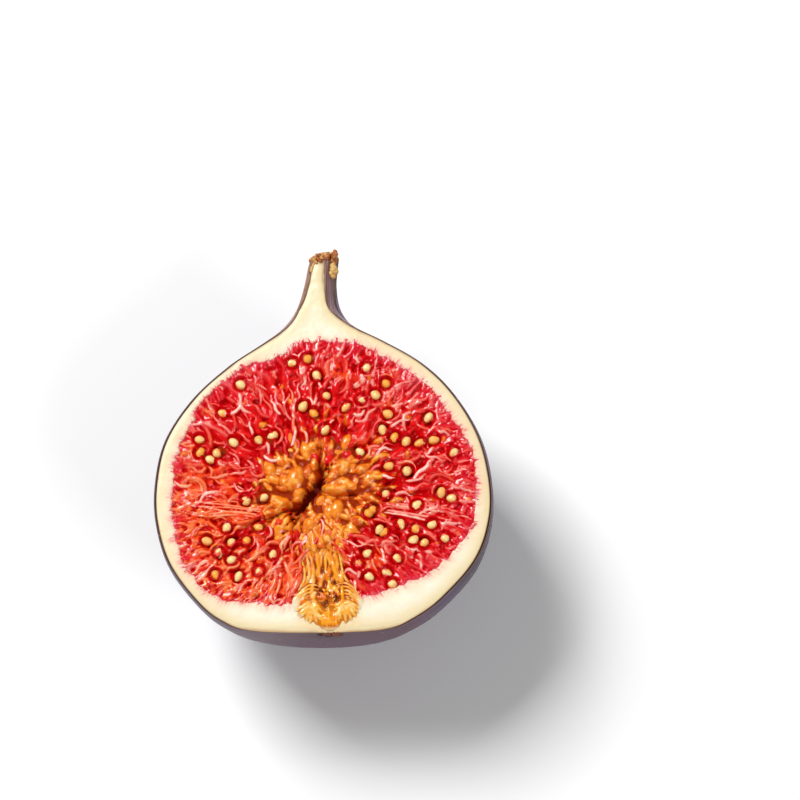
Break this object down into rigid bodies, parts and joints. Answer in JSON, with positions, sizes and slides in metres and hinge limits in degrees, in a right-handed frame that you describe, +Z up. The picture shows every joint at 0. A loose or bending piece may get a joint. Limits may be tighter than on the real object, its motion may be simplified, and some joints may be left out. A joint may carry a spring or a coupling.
{
  "type": "halved fresh fig",
  "caption": "Fresh purple fig cut in half from stem to eye, lying on its rounded back with the red seedy pulp up.",
  "frame": {"origin": "middle of the small flat spot on the rounded back, on the surface that the half fruit lies on", "axes": "+Z up, square to the cut face; +Y along the fruit from the eye to the stem; +X to the right when the cut face is seen from above with the stem at the top"},
  "size_m": [0.052, 0.0613, 0.0285],
  "materials": {
    "skin": "thin dark purple skin with a waxy blue-grey bloom, satin",
    "flesh": "moist cream-coloured flesh on the cut face",
    "pulp": "wet, glossy crimson florets",
    "seed": "small glossy golden seeds",
    "eye": "amber scales and fibres with brown edges"
  },
  "bodies": {
    "root": {"rind": "skin", "pulp": "pulp", "eye": "eye"}
  },
  "joints": []
}
